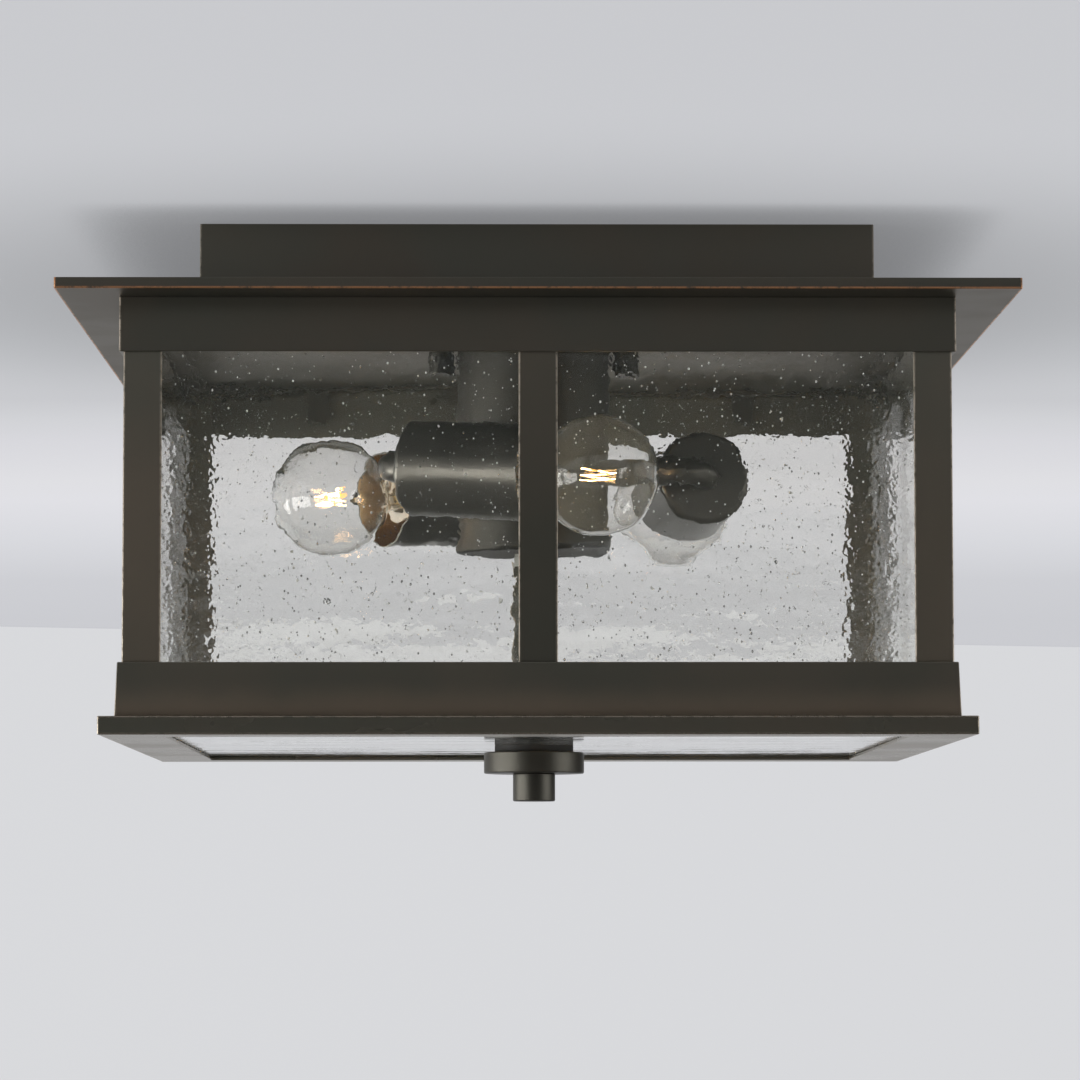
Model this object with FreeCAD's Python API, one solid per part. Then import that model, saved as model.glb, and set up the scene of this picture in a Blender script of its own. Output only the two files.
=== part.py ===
import FreeCAD, Part
import math
import os

# A square ceiling lantern: a shallow pan on the ceiling, a wide roof plate, a glazed
# square cage, three bulb cups in a pinwheel round a hub, and a glazed bottom tray that a
# knob on the centre rod holds up. Millimetres. X is right, Y is back, Z is up, and the
# origin is on the ceiling over the centre of the lantern.

V = FreeCAD.Vector

# ---- sheets and general clearances ----
PAN_SHEET = 1.2            # canopy and roof plate
FRAME_SHEET = 1.6          # rails, posts and mullions
EDGE_ROUND = 0.6           # rolled outer edges
FRAME_FIT = 0.1            # rails over posts
RUN_FIT = 0.3              # between pieces that move past each other
HOLE_FIT = 0.3             # holes round rods and studs

# ---- canopy and roof plate ----
CANOPY_HALF = 136.7
CANOPY_HEIGHT = 29.4       # ceiling to the top edge of the roof plate
ROOF_HALF = 190.5
ROOF_EDGE = 4.4
ROOF_OVERHANG = 25.5       # past the cage

# ---- cage ----
CAGE_HALF = ROOF_HALF - ROOF_OVERHANG     # outer faces of posts and mullions
TOP_RAIL_HEIGHT = 22.0
WINDOW_HEIGHT = 123.7
BOTTOM_RAIL_HEIGHT = 21.6
BOTTOM_RAIL_FLARE = 0.9
RAIL_FLANGE = 12.0
POST_LEG = 15.3
MULLION_WIDTH = 15.5

# ---- glass ----
PANE_THICKNESS = 3.0
PANE_TAPE = 0.2            # glazing tape between a pane and the frame
PANE_HEAD_ROOM = 2.0
PANE_END_GAP = 0.5
CLIP_SHEET = 0.8
CLIP_WIDTH = 10.0
CLIP_FOOT = 6.0
CLIP_LEG = 12.0
CLIP_SPREAD = 100.0        # from the middle of a side to each clip

# ---- bottom tray ----
TRAY_OVERHANG = 8.8        # past the cage
TRAY_HALF = CAGE_HALF + TRAY_OVERHANG
TRAY_HEIGHT = 7.4
TRAY_SHEET = 1.5
TRAY_LIP = 25.0
TRAY_WEB = 13.3
TRAY_GLASS = 3.0
TRAY_GLASS_GAP = 1.0       # glass edge to the web's inner edge
GLASS_HOLE_RADIUS = 6.5
SEAL_WIDTH = 3.5
SEAL_GAP = 0.2
GLASS_CLIP_REACH = 2.5     # over the glass

# ---- centre rod and finial ----
ROD_RADIUS = 4.95         # M10 x 1
ROD_ABOVE_PAN = 8.0
NUT_HEIGHT = 5.0
ROD_NUT_FLATS = 15.0
GASKET_RADIUS = 17.0
GASKET_HEIGHT = 2.9
WASHER_RADIUS = 21.65
WASHER_HEIGHT = 9.1
KNOB_RADIUS = 9.13
KNOB_HEIGHT = 12.0
KNOB_FLOOR = 2.5
ROD_END_GAP = 0.5

# ---- ceiling bracket ----
BRACKET_SHEET = 1.6
BRACKET_END = 4.8          # past the slots
BRACKET_WIDTH = 16.0
BOX_SLOT_SPREAD = 39.7     # middle of each box-screw slot, from the centre
BOX_SLOT_RADIUS = 2.4
BOX_SLOT_LENGTH = 15.0
BRACKET_HALF = BOX_SLOT_SPREAD + BOX_SLOT_LENGTH / 2 + BRACKET_END
STUD_SPREAD = 40.0
STUD_RADIUS = 2.05
STUD_NUT_FLATS = 8.7
STUD_NUT_HEIGHT = 3.2
THUMB_NUT_RADIUS = 5.4
THUMB_NUT_HEIGHT = 11.8
THUMB_NUT_END = 2.0
THREAD_FIT = 0.1
GROUND_SCREW_SPREAD = 22.0
GROUND_HEAD_RADIUS = 4.0
GROUND_HEAD_HEIGHT = 2.4

# ---- hub ----
HUB_RADIUS = 33.0
HUB_HEIGHT = 83.6
HUB_SHEET = 1.2
HUB_CAP_RADIUS = 34.2
HUB_CAP_HEIGHT = 6.6
HUB_CAP_ROUND = 2.0
WIRE_HOLE_RADIUS = 6.0
WIRE_HOLE_SPREAD = 18.0

# ---- arms, in the frame of a cup that points along +X ----
SOCKETS = 3
FIRST_AZIMUTH = -23.0
ARM_RADIUS = 6.5
ARM_WALL = 2.0
ARM_DROP = 56.4            # roof plate to the arm's centre line
CUP_OFFSET = 70.8          # the cup's centre line, beside the hub's centre
CUP_BACK = 26.7            # the cup's closed end, behind the hub's centre
CUP_STUB = 0.8             # elbow to closed end
ARM_CLEARANCE = 1.2        # arm to the cup's back rim
CUP_DROOP = 4.0
ARM_INSIDE = 7.0           # threaded end inside the hub
ARM_NUT_FLATS = 17.0
ARM_NUT_HEIGHT = 4.0

# ---- cups and lamp holders, measured along the cup from its closed end ----
CUP_RADIUS = 20.0
CUP_LENGTH = 56.0
CUP_SHEET = 1.0
CUP_ROUND = 2.5
HOLDER_RADIUS = 11.0
HOLDER_LENGTH = 34.0
HOLDER_RECESS = 7.5        # behind the cup's mouth
HOLDER_SEAT = 6.0          # over the arm's threaded end
HOLDER_BRIDGE = 4.0
SHELL_RADIUS = 6.85
SHELL_SHEET = 0.6
SHELL_LENGTH = 17.0
SHELL_START = 2.0
CONTACT_LEAF = 0.5
CONTACT_WIDTH = 4.0
CONTACT_LENGTH = 9.0
CONTACT_RISE = 5.0

# ---- bulbs ----
BASE_RADIUS = 5.95
BASE_LENGTH = 14.0
BASE_RIDGES = 4
RIDGE_DEPTH = 0.45
INSULATOR_LENGTH = 1.6
TIP_RADIUS = 2.4
TIP_LENGTH = 1.0
TIP_GAP = 0.2
GLOBE_RADIUS = 25.4
GLOBE_WALL = 0.8
GLOBE_PAST_MOUTH = 29.0    # cup mouth to the globe's centre
NECK_RADIUS = 5.9
NECK_JOIN_RADIUS = 14.0    # where the neck runs into the globe
STEM_FOOT_RADIUS = 4.2
STEM_RADIUS = 2.4
STEM_SHORT = 12.0          # the stem's end, before the globe's centre
WIRE_RADIUS = 0.35
FILAMENT_RADIUS = 0.45
FILAMENT_HALF = 8.0        # half its length along the bulb
FILAMENT_SPREAD = 6.0
FILAMENT_RUNS = 4          # an even number, so that both ends are at the stem

# ---- levels, from the ceiling down ----
Z_ROOF_TOP = -CANOPY_HEIGHT
Z_ROOF = Z_ROOF_TOP - ROOF_EDGE
Z_PAN = Z_ROOF + PAN_SHEET
Z_RAIL_LOW = Z_ROOF - TOP_RAIL_HEIGHT
Z_SILL = Z_RAIL_LOW - WINDOW_HEIGHT
Z_CAGE = Z_SILL - BOTTOM_RAIL_HEIGHT
Z_HEAD_FLANGE = Z_ROOF - FRAME_SHEET
Z_SILL_FLANGE = Z_CAGE + FRAME_SHEET
Z_TRAY = Z_CAGE - TRAY_HEIGHT
Z_GLASS_LOW = Z_TRAY + TRAY_SHEET
Z_GLASS_TOP = Z_GLASS_LOW + TRAY_GLASS
Z_GASKET = Z_GLASS_LOW - GASKET_HEIGHT
Z_WASHER = Z_GASKET - WASHER_HEIGHT
Z_KNOB = Z_WASHER - KNOB_HEIGHT
Z_HUB = Z_ROOF - HUB_HEIGHT
Z_ARM = Z_ROOF - ARM_DROP

# ---- widths worked out from the sizes above ----
RAIL_INNER = CAGE_HALF + FRAME_FIT
RAIL_OUTER = RAIL_INNER + FRAME_SHEET
FLANGE_INNER = RAIL_INNER - RAIL_FLANGE
PANE_OUTER = CAGE_HALF - FRAME_SHEET - PANE_TAPE
PANE_INNER = PANE_OUTER - PANE_THICKNESS
TRAY_WEB_INNER = TRAY_HALF - TRAY_WEB
TRAY_GLASS_HALF = TRAY_WEB_INNER - TRAY_GLASS_GAP
ROD_HOLE = ROD_RADIUS + HOLE_FIT
STUD_HOLE = STUD_RADIUS + HOLE_FIT
ARM_HOLE = ARM_RADIUS + FRAME_FIT

# ---- places along a cup ----
HOLDER_FRONT = CUP_LENGTH - HOLDER_RECESS
HOLDER_REAR = HOLDER_FRONT - HOLDER_LENGTH
ARM_END = HOLDER_REAR + HOLDER_SEAT
BRIDGE_FRONT = ARM_END + HOLDER_BRIDGE
TIP_START = BRIDGE_FRONT + CONTACT_RISE + TIP_GAP
BASE_START = TIP_START + TIP_LENGTH + INSULATOR_LENGTH
BASE_END = BASE_START + BASE_LENGTH
GLOBE_CENTRE = CUP_LENGTH + GLOBE_PAST_MOUTH
STEM_END = GLOBE_CENTRE - STEM_SHORT


def save(name, *solids):
    """Write one node, of one or more separate solids."""
    shape = solids[0] if len(solids) == 1 else Part.makeCompound(list(solids))
    shape.exportStep("parts/" + name + ".step")


def box(x, y, z):
    """A box from three (low, high) pairs."""
    return Part.makeBox(x[1] - x[0], y[1] - y[0], z[1] - z[0], V(x[0], y[0], z[0]))


def square(half, low, high):
    return box((-half, half), (-half, half), (low, high))


def round_uprights(shape, half, radius=EDGE_ROUND):
    """Round the four upright outer corners of a square shape."""
    def is_corner(edge):
        points = [vertex.Point for vertex in edge.Vertexes]
        at_corner = all(abs(abs(p.x) - half) + abs(abs(p.y) - half) < 1e-6 for p in points)
        return at_corner and abs(points[0].z - points[-1].z) > radius
    return shape.makeFillet(radius, [edge for edge in shape.Edges if is_corner(edge)])


def rod(radius, low, high, x=0.0, y=0.0):
    return Part.makeCylinder(radius, high - low, V(x, y, low))


def along_x(radius, start, end):
    return Part.makeCylinder(radius, end - start, V(start, 0, 0), V(1, 0, 0))


def tube_x(outer, inner, start, end):
    return along_x(outer, start, end).cut(along_x(inner, start - 1, end + 1))


def hexagon(flats, low, high, bore):
    """An upright hexagonal nut."""
    corner = flats / math.sqrt(3)
    points = [V(corner * math.cos(math.radians(60 * n)), corner * math.sin(math.radians(60 * n)), low)
              for n in range(7)]
    blank = Part.Face(Part.makePolygon(points)).extrude(V(0, 0, high - low))
    return blank.cut(rod(bore, low - 1, high + 1))


def quarter_turned(shape, quarter):
    """A copy of a shape for one of the four sides."""
    copy = shape.copy()
    copy.rotate(V(0, 0, 0), V(0, 0, 1), 90 * quarter)
    return copy


# ---- ceiling bracket and its fasteners ----

def box_slot(y):
    reach = BOX_SLOT_LENGTH / 2 - BOX_SLOT_RADIUS
    low, high = -BRACKET_SHEET - 1, 1
    middle = box((-BOX_SLOT_RADIUS, BOX_SLOT_RADIUS), (y - reach, y + reach), (low, high))
    ends = [rod(BOX_SLOT_RADIUS, low, high, 0, y + side * reach) for side in (-1, 1)]
    return middle.fuse(ends).removeSplitter()


def ceiling_bracket():
    """A cross of strip: slots for the junction box along Y, studs along X."""
    width = BRACKET_WIDTH / 2
    span = (-BRACKET_SHEET, 0)
    cross = box((-BRACKET_HALF, BRACKET_HALF), (-width, width), span)
    cross = cross.fuse(box((-width, width), (-BRACKET_HALF, BRACKET_HALF), span)).removeSplitter()
    for side in (-1, 1):
        cross = cross.cut(box_slot(side * BOX_SLOT_SPREAD))
        cross = cross.cut(rod(STUD_RADIUS + THREAD_FIT, -BRACKET_SHEET - 1, 1, side * STUD_SPREAD))
    return cross.cut(rod(STUD_RADIUS + THREAD_FIT, -BRACKET_SHEET - 1, 1, GROUND_SCREW_SPREAD))


def at_studs(shape):
    copies = []
    for side in (-1, 1):
        copy = shape.copy()
        copy.translate(V(side * STUD_SPREAD, 0, 0))
        copies.append(copy)
    return copies


def mounting_stud():
    return rod(STUD_RADIUS, Z_ROOF - THUMB_NUT_HEIGHT + THUMB_NUT_END + ROD_END_GAP, 0)


def thumb_nut():
    """A closed round nut, screwed up against the roof plate."""
    low = Z_ROOF - THUMB_NUT_HEIGHT
    nut = rod(THUMB_NUT_RADIUS, low, Z_ROOF)
    nut = nut.makeFillet(EDGE_ROUND, [edge for edge in nut.Edges if edge.BoundBox.ZMax < low + 0.01])
    return nut.cut(rod(STUD_RADIUS + THREAD_FIT, low + THUMB_NUT_END, Z_ROOF + 1))


def ground_screw():
    head_low = -BRACKET_SHEET - GROUND_HEAD_HEIGHT
    head = rod(GROUND_HEAD_RADIUS, head_low, -BRACKET_SHEET, GROUND_SCREW_SPREAD)
    head = head.makeFillet(1.0, [edge for edge in head.Edges if edge.BoundBox.ZMax < head_low + 0.01])
    slot = box((GROUND_SCREW_SPREAD - GROUND_HEAD_RADIUS, GROUND_SCREW_SPREAD + GROUND_HEAD_RADIUS),
               (-EDGE_ROUND, EDGE_ROUND), (head_low - 1, head_low + GROUND_HEAD_HEIGHT / 2))
    return head.cut(slot).fuse(rod(STUD_RADIUS, -BRACKET_SHEET - 0.1, 0, GROUND_SCREW_SPREAD))


# ---- canopy, roof plate and hub ----

def pierced(shape, low, high):
    """Cut the rod, stud and wire holes that the pans and the hub's top share."""
    shape = shape.cut(rod(ROD_HOLE, low, high))
    shape = shape.cut(rod(WIRE_HOLE_RADIUS, low, high, 0, WIRE_HOLE_SPREAD))
    for side in (-1, 1):
        shape = shape.cut(rod(STUD_HOLE, low, high, side * STUD_SPREAD))
    return shape


def canopy():
    """A square pan, open towards the ceiling, that stands on the roof plate."""
    outside = round_uprights(square(CANOPY_HALF, Z_PAN, 0), CANOPY_HALF)
    pan = outside.cut(square(CANOPY_HALF - PAN_SHEET, Z_PAN + PAN_SHEET, 1))
    return pierced(pan, Z_PAN - 1, Z_PAN + PAN_SHEET + 1)


def roof_plate():
    """Sheet with its edges turned up, so that the underside is flat."""
    outside = round_uprights(square(ROOF_HALF, Z_ROOF, Z_ROOF_TOP), ROOF_HALF)
    plate = outside.cut(square(ROOF_HALF - PAN_SHEET, Z_PAN, Z_ROOF_TOP + 1))
    return pierced(plate, Z_ROOF - 1, Z_PAN + 1)


def hub_drum():
    """A drum, closed at the top against the roof plate, with a hole for each arm."""
    drum = rod(HUB_RADIUS, Z_HUB, Z_ROOF)
    drum = drum.cut(rod(HUB_RADIUS - HUB_SHEET, Z_HUB - 1, Z_ROOF - HUB_SHEET))
    drum = drum.cut(rod(ROD_HOLE, Z_HUB, Z_ROOF + 1))
    drum = drum.cut(rod(WIRE_HOLE_RADIUS, Z_ROOF - HUB_SHEET - 1, Z_ROOF + 1, 0, WIRE_HOLE_SPREAD))
    for socket in range(SOCKETS):
        hole = Part.makeCylinder(ARM_HOLE, HUB_RADIUS + 1, CORNER_FOOT, ARM_WAY)
        drum = drum.cut(placed(hole, socket))
    return drum


def hub_cap():
    """A shallow dish under the drum, held by the nut on the rod."""
    low = Z_HUB - HUB_CAP_HEIGHT
    dish = rod(HUB_CAP_RADIUS, low, Z_HUB)
    dish = dish.makeFillet(HUB_CAP_ROUND, [edge for edge in dish.Edges if edge.BoundBox.ZMax < low + 0.01])
    dish = dish.cut(rod(HUB_CAP_RADIUS - HUB_CAP_ROUND - HUB_SHEET, low + HUB_SHEET, Z_HUB - HUB_SHEET))
    dish = dish.cut(rod(HUB_RADIUS - HUB_SHEET, low + HUB_SHEET + HUB_CAP_ROUND, Z_HUB + 1))
    return dish.cut(rod(ROD_HOLE, low - 1, Z_HUB + 1))


def centre_rod():
    low = Z_KNOB + KNOB_FLOOR + ROD_END_GAP
    return rod(ROD_RADIUS, low, Z_PAN + PAN_SHEET + ROD_ABOVE_PAN)


def rod_nut(low):
    return hexagon(ROD_NUT_FLATS, low, low + NUT_HEIGHT, ROD_RADIUS + THREAD_FIT)


# ---- cage ----

def top_rail():
    """An angle bent into a square ring, with its flange against the roof plate."""
    outside = round_uprights(square(RAIL_OUTER, Z_RAIL_LOW, Z_ROOF), RAIL_OUTER)
    rail = outside.cut(square(RAIL_INNER, Z_RAIL_LOW - 1, Z_HEAD_FLANGE))
    return rail.cut(square(FLANGE_INNER, Z_RAIL_LOW - 1, Z_ROOF + 1))


def square_wire(half, z):
    return Part.makePolygon([V(half * x, half * y, z)
                             for x, y in ((-1, -1), (1, -1), (1, 1), (-1, 1), (-1, -1))])


def bottom_rail():
    """An angle ring that flares a little towards its foot, with its flange as the sill."""
    foot = square_wire(RAIL_OUTER + BOTTOM_RAIL_FLARE, Z_CAGE)
    outside = Part.makeLoft([foot, square_wire(RAIL_OUTER, Z_SILL)], True, True)
    rail = outside.cut(square(RAIL_INNER, Z_SILL_FLANGE, Z_SILL + 1))
    return rail.cut(square(FLANGE_INNER, Z_CAGE - 1, Z_SILL + 1))


def corner_post():
    """An angle, standing on the sill flange inside both rails."""
    outer, inner = -CAGE_HALF, -CAGE_HALF + FRAME_SHEET
    leg = -CAGE_HALF + POST_LEG
    span = (Z_SILL_FLANGE, Z_HEAD_FLANGE)
    post = box((outer, leg), (outer, leg), span)
    post = post.cut(box((inner, leg + 1), (inner, leg + 1), (span[0] - 1, span[1] + 1)))

    def is_arris(edge):
        return edge.BoundBox.XMax < outer + 0.01 and edge.BoundBox.YMax < outer + 0.01
    return post.makeFillet(EDGE_ROUND, [edge for edge in post.Edges if is_arris(edge)])


def mullion():
    half = MULLION_WIDTH / 2
    face = (-CAGE_HALF, -CAGE_HALF + FRAME_SHEET)
    return box((-half, half), face, (Z_SILL_FLANGE, Z_HEAD_FLANGE))


def side_pane():
    half = PANE_INNER - PANE_END_GAP
    return box((-half, half), (-PANE_OUTER, -PANE_INNER), (Z_SILL_FLANGE, Z_HEAD_FLANGE - PANE_HEAD_ROOM))


def pane_clips():
    """Angle tabs, welded to the flanges, that stop each pane from falling inwards."""
    leg_face = -PANE_INNER + PANE_TAPE
    solids = []
    for side in (-1, 1):
        x = (side * CLIP_SPREAD - CLIP_WIDTH / 2, side * CLIP_SPREAD + CLIP_WIDTH / 2)
        for level, way in ((Z_HEAD_FLANGE, -1), (Z_SILL_FLANGE, 1)):
            leg = sorted((level, level + way * CLIP_LEG))
            foot = sorted((level, level + way * CLIP_SHEET))
            tab = box(x, (leg_face, leg_face + CLIP_SHEET), leg)
            solids.append(tab.fuse(box(x, (leg_face, leg_face + CLIP_FOOT), foot)).removeSplitter())
    return solids


# ---- bottom tray and finial ----

def tray_frame():
    """A channel bent into a square ring, open inwards, with a wide lip under the glass."""
    outside = round_uprights(square(TRAY_HALF, Z_TRAY, Z_CAGE), TRAY_HALF)
    frame = outside.cut(square(TRAY_HALF - TRAY_SHEET, Z_GLASS_LOW, Z_CAGE - TRAY_SHEET))
    frame = frame.cut(square(TRAY_WEB_INNER, Z_GLASS_LOW, Z_CAGE + 1))
    return frame.cut(square(TRAY_HALF - TRAY_LIP, Z_TRAY - 1, Z_GLASS_LOW + 1))


def bottom_glass():
    return square(TRAY_GLASS_HALF, Z_GLASS_LOW, Z_GLASS_TOP).cut(
        rod(GLASS_HOLE_RADIUS, Z_GLASS_LOW - 1, Z_GLASS_TOP + 1))


def tray_seal():
    """A foam strip on the glass, that the sill flange presses on."""
    strip = square(FLANGE_INNER + SEAL_WIDTH, Z_GLASS_TOP, Z_CAGE - SEAL_GAP)
    return strip.cut(square(FLANGE_INNER, Z_GLASS_TOP - 1, Z_CAGE + 1))


def glass_clips():
    """Angle tabs that stand on the lip beside the glass and hook over its edge."""
    edge = -TRAY_GLASS_HALF
    solids = []
    for side in (-1, 1):
        x = (side * CLIP_SPREAD - CLIP_WIDTH / 2, side * CLIP_SPREAD + CLIP_WIDTH / 2)
        leg = box(x, (edge - PANE_TAPE - CLIP_SHEET, edge - PANE_TAPE), (Z_GLASS_LOW, Z_GLASS_TOP))
        hook = box(x, (edge - PANE_TAPE - CLIP_SHEET, edge + GLASS_CLIP_REACH),
                   (Z_GLASS_TOP, Z_GLASS_TOP + CLIP_SHEET))
        solids.append(leg.fuse(hook).removeSplitter())
    return solids


def finial_gasket():
    """A rubber washer under the glass, with a neck that lines the hole in it."""
    disc = rod(GASKET_RADIUS, Z_GASKET, Z_GLASS_LOW)
    neck = rod(GLASS_HOLE_RADIUS - FRAME_FIT, Z_GLASS_LOW - 0.1, Z_GLASS_TOP)
    return disc.fuse(neck).cut(rod(ROD_RADIUS + RUN_FIT, Z_GASKET - 1, Z_GLASS_TOP + 1))


def turned(radius, low, high):
    """A short turned cylinder with both rims eased."""
    blank = rod(radius, low, high)
    rims = [edge for edge in blank.Edges if edge.BoundBox.ZLength < 0.01]
    return blank.makeFillet(EDGE_ROUND, rims)


def finial_washer():
    return turned(WASHER_RADIUS, Z_WASHER, Z_GASKET).cut(
        rod(ROD_RADIUS + RUN_FIT, Z_WASHER - 1, Z_GASKET + 1))


def finial_knob():
    return turned(KNOB_RADIUS, Z_KNOB, Z_WASHER).cut(
        rod(ROD_RADIUS + RUN_FIT, Z_KNOB + KNOB_FLOOR, Z_WASHER + 1))


# ---- arms ----

RIM_SIDE = CUP_OFFSET - CUP_RADIUS
RIM_ANGLE = math.atan2(RIM_SIDE, CUP_BACK)
ARM_ANGLE = RIM_ANGLE - math.asin((ARM_RADIUS + ARM_CLEARANCE) / math.hypot(RIM_SIDE, CUP_BACK))
ELBOW_BACK = CUP_OFFSET / math.tan(ARM_ANGLE)
CORNER = V(-ELBOW_BACK, -CUP_OFFSET, Z_ARM)
CORNER_FOOT = V(0, 0, Z_ARM)
ARM_WAY = V(-ELBOW_BACK, -CUP_OFFSET, 0).normalize()
CUP_WAY = V(math.cos(math.radians(CUP_DROOP)), 0, -math.sin(math.radians(CUP_DROOP)))
ELBOW_TANGENT = ELBOW_BACK - CUP_BACK - CUP_STUB
ELBOW_RADIUS = ELBOW_TANGENT / math.tan(ARM_WAY.getAngle(CUP_WAY) / 2)
CUP_FOOT = CORNER + CUP_WAY * (ELBOW_TANGENT + CUP_STUB)
TURNS = [FIRST_AZIMUTH + 360.0 / SOCKETS * socket for socket in range(SOCKETS)]


def placed(shape, socket):
    """A copy of a shape of the first arm's frame, turned to its own arm."""
    copy = shape.copy()
    copy.rotate(V(0, 0, 0), V(0, 0, 1), TURNS[socket])
    return copy


def in_cup(shape, socket):
    """A copy of a shape made along +X from the cup's closed end, put in its cup."""
    copy = shape.copy()
    copy.rotate(V(0, 0, 0), V(0, 1, 0), CUP_DROOP)
    copy.translate(CUP_FOOT)
    return placed(copy, socket)


def arm_line():
    """Out from the hub, round the elbow, and into the cup."""
    start = CORNER_FOOT + ARM_WAY * (HUB_RADIUS - ARM_INSIDE)
    elbow_in = CORNER - ARM_WAY * ELBOW_TANGENT
    elbow_out = CORNER + CUP_WAY * ELBOW_TANGENT
    bisector = (CUP_WAY - ARM_WAY).normalize()
    half_turn = ARM_WAY.getAngle(CUP_WAY) / 2
    apex = CORNER + bisector * (ELBOW_RADIUS / math.cos(half_turn) - ELBOW_RADIUS)
    end = CUP_FOOT + CUP_WAY * ARM_END
    edges = [Part.LineSegment(start, elbow_in).toShape(),
             Part.Arc(elbow_in, apex, elbow_out).toShape(),
             Part.LineSegment(elbow_out, end).toShape()]
    return Part.Wire(edges), start


def arm_pipe(radius):
    line, start = arm_line()
    circle = Part.Wire(Part.makeCircle(radius, start, ARM_WAY))
    return line.makePipeShell([circle], True, False)


def arm():
    return arm_pipe(ARM_RADIUS).cut(arm_pipe(ARM_RADIUS - ARM_WALL))


def arm_nut():
    """The nut on the arm's threaded end, inside the drum."""
    flat_inside = HUB_RADIUS - HUB_SHEET
    seat = math.sqrt(flat_inside ** 2 - (ARM_NUT_FLATS / math.sqrt(3)) ** 2)
    nut = hexagon(ARM_NUT_FLATS, 0, ARM_NUT_HEIGHT, ARM_RADIUS + THREAD_FIT)
    nut.Placement = FreeCAD.Placement(CORNER_FOOT + ARM_WAY * (seat - ARM_NUT_HEIGHT),
                                      FreeCAD.Rotation(V(0, 0, 1), ARM_WAY))
    return nut


# ---- cups and lamp holders, along +X ----

def socket_cup():
    shell = along_x(CUP_RADIUS, 0, CUP_LENGTH)
    shell = shell.makeFillet(CUP_ROUND, [edge for edge in shell.Edges if edge.BoundBox.XMax < 0.01])
    inside = along_x(CUP_RADIUS - CUP_SHEET, CUP_SHEET, CUP_LENGTH + 1)
    inside = inside.makeFillet(CUP_ROUND - CUP_SHEET,
                               [edge for edge in inside.Edges if edge.BoundBox.XMax < CUP_SHEET + 0.01])
    return shell.cut(inside).cut(along_x(ARM_HOLE, -1, CUP_SHEET + 1))


def cup_nut():
    nut = hexagon(ARM_NUT_FLATS, 0, ARM_NUT_HEIGHT, ARM_RADIUS + THREAD_FIT)
    nut.Placement = FreeCAD.Placement(V(CUP_SHEET, 0, 0), FreeCAD.Rotation(V(0, 0, 1), V(1, 0, 0)))
    return nut


def socket_holder():
    """A moulded holder on the arm's end, bored from the front for the screw shell."""
    body = along_x(HOLDER_RADIUS, HOLDER_REAR, HOLDER_FRONT)
    body = body.makeFillet(EDGE_ROUND, [edge for edge in body.Edges if edge.BoundBox.XLength < 0.01])
    body = body.cut(along_x(ARM_HOLE, HOLDER_REAR - 1, ARM_END + FRAME_FIT))
    return body.cut(along_x(SHELL_RADIUS + FRAME_FIT, BRIDGE_FRONT, HOLDER_FRONT + 1))


def screw_shell():
    start = BRIDGE_FRONT + SHELL_START
    return tube_x(SHELL_RADIUS, SHELL_RADIUS - SHELL_SHEET, start, start + SHELL_LENGTH)


def socket_contact():
    """A bent leaf spring on the holder's bridge, that reaches out to the bulb's tip."""
    half = CONTACT_LENGTH / 2
    top = BRIDGE_FRONT + CONTACT_RISE
    leaf = CONTACT_LEAF
    outline = [(BRIDGE_FRONT, -half), (BRIDGE_FRONT, half), (top, 0.0), (top, -half / 2),
               (top - leaf, -half / 2), (top - leaf, -leaf), (BRIDGE_FRONT + leaf, half - 2 * leaf),
               (BRIDGE_FRONT + leaf, -half), (BRIDGE_FRONT, -half)]
    points = [V(x, -CONTACT_WIDTH / 2, z) for x, z in outline]
    return Part.Face(Part.makePolygon(points)).extrude(V(0, CONTACT_WIDTH, 0))


# ---- bulbs, along +X ----

def spun(edges):
    """A solid of revolution about the cup's centre line, from edges in the XY plane."""
    return Part.Face(Part.Wire(Part.__sortEdges__(edges))).revolve(V(0, 0, 0), V(1, 0, 0), 360)


def spun_outline(points):
    corners = [V(x, r, 0) for x, r in points]
    return spun([Part.LineSegment(a, b).toShape() for a, b in zip(corners, corners[1:] + corners[:1])])


def bulb_base():
    """A ridged screw shell, the insulator behind it and the contact at its tip."""
    pitch = BASE_LENGTH / (BASE_RIDGES + 1)
    outline = [(BASE_START, 0), (BASE_START, BASE_RADIUS - RIDGE_DEPTH)]
    for ridge in range(BASE_RIDGES):
        crest = BASE_START + pitch * (ridge + 0.75)
        outline += [(crest - pitch / 3, BASE_RADIUS - RIDGE_DEPTH), (crest, BASE_RADIUS),
                    (crest + pitch / 3, BASE_RADIUS - RIDGE_DEPTH)]
    outline += [(BASE_END - 1, BASE_RADIUS - RIDGE_DEPTH), (BASE_END, BASE_RADIUS), (BASE_END, 0)]
    insulator_low = BASE_START - INSULATOR_LENGTH
    insulator = [(insulator_low, 0), (insulator_low, TIP_RADIUS),
                 (BASE_START, BASE_RADIUS - 2 * RIDGE_DEPTH), (BASE_START, 0)]
    return [spun_outline(outline), spun_outline(insulator), along_x(TIP_RADIUS, TIP_START, insulator_low)]


def globe_profile(inset):
    """The glass outline, from the neck's end to the front of the globe."""
    radius = GLOBE_RADIUS - inset
    join_radius = NECK_JOIN_RADIUS - inset
    join = V(GLOBE_CENTRE - math.sqrt(radius ** 2 - join_radius ** 2), join_radius, 0)
    neck = V(BASE_END, NECK_RADIUS - inset, 0)
    front = V(GLOBE_CENTRE + radius, 0, 0)
    crown = V(GLOBE_CENTRE, radius, 0)
    reach = (join.x - neck.x) / 2
    along_sphere = V(join.y, GLOBE_CENTRE - join.x, 0).normalize()
    curve = Part.BezierCurve()
    curve.setPoles([neck, neck + V(reach, 0, 0), join - along_sphere * reach, join])
    return [curve.toShape(), Part.Arc(join, crown, front).toShape()], neck, front


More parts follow.
